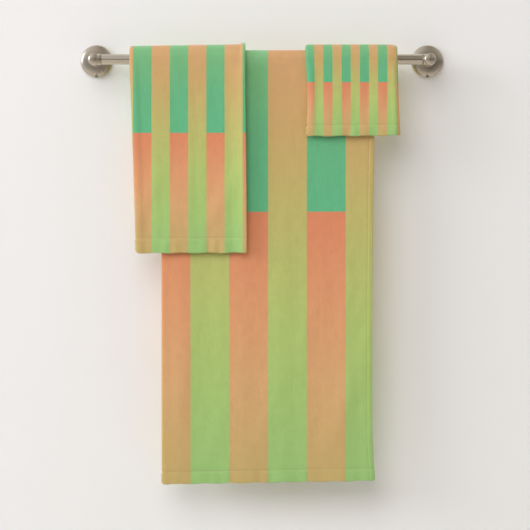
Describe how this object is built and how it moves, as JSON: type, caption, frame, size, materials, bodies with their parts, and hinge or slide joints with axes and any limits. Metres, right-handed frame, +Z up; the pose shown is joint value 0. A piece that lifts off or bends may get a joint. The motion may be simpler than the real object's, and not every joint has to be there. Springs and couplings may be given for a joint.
{
  "type": "bath towel set",
  "caption": "Striped bath towel folded over a wall-mounted rail, with a hand towel and a wash cloth draped over it.",
  "frame": {"origin": "on the wall, midway between the two flanges, at the height of the bar's axis", "axes": "+Z up, +X along the bar to the right as seen from the room, +Y into the wall"},
  "size_m": [0.658, 0.1294, 0.7895],
  "materials": {
    "nickel": "satin",
    "zinc": "satin",
    "nylon": "matte",
    "bath_cloth": "matte",
    "hand_cloth": "matte",
    "wash_cloth": "matte"
  },
  "bodies": {
    "wall_fixings": {"post_left": "nickel", "flange_left": "nickel", "bracket_left": "zinc", "post_screw_left": "zinc", "grub_screw_left": "nickel", "wall_screw_left_upper": "zinc", "wall_screw_left_lower": "zinc", "wall_anchor_left_upper": "nylon", "wall_anchor_left_lower": "nylon", "post_right": "nickel", "flange_right": "nickel", "bracket_right": "zinc", "post_screw_right": "zinc", "grub_screw_right": "nickel", "wall_screw_right_upper": "zinc", "wall_screw_right_lower": "zinc", "wall_anchor_right_upper": "nylon", "wall_anchor_right_lower": "nylon"},
    "bar": {"bar_tube": "nickel", "bar_plug_left": "nickel", "bar_plug_right": "nickel"},
    "bath_towel": {"bath_towel": "bath_cloth"},
    "hand_towel": {"hand_towel": "hand_cloth"},
    "wash_cloth": {"wash_cloth": "wash_cloth"}
  },
  "joints": [
    {"name": "bar_spin", "type": "hinge", "parent": "wall_fixings", "child": "bar", "pos_m": [0, -0.07, 0], "axis": [1, 0, 0], "continuous": true},
    {"name": "bath_towel_lift", "type": "slide", "parent": "wall_fixings", "child": "bath_towel", "axis": [0, 0, 1], "range_m": [0, 0.8]},
    {"name": "hand_towel_lift", "type": "slide", "parent": "bath_towel", "child": "hand_towel", "axis": [0, 0, 1], "range_m": [0, 0.38]},
    {"name": "wash_cloth_lift", "type": "slide", "parent": "bath_towel", "child": "wash_cloth", "axis": [0, 0, 1], "range_m": [0, 0.18]}
  ]
}
